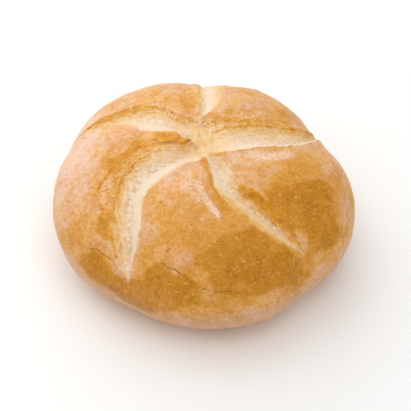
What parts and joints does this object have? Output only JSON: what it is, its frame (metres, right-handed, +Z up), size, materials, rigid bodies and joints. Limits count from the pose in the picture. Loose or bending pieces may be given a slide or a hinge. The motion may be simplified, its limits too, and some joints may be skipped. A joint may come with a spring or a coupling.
{
  "type": "bread roll",
  "caption": "Round white bread roll with a golden crust, its domed top split into petals by a star of pale torn seams.",
  "frame": {"origin": "the middle of the flat foot, on the surface that the roll stands on", "axes": "+Z up through the hub of the star, +Y towards the back seam, +X to the right"},
  "size_m": [0.1094, 0.1042, 0.0511],
  "materials": {
    "crust": "baked wheat crust, satin, golden brown with pale cream dough in the seams"
  },
  "bodies": {
    "root": {"bread_roll": "crust"}
  },
  "joints": []
}
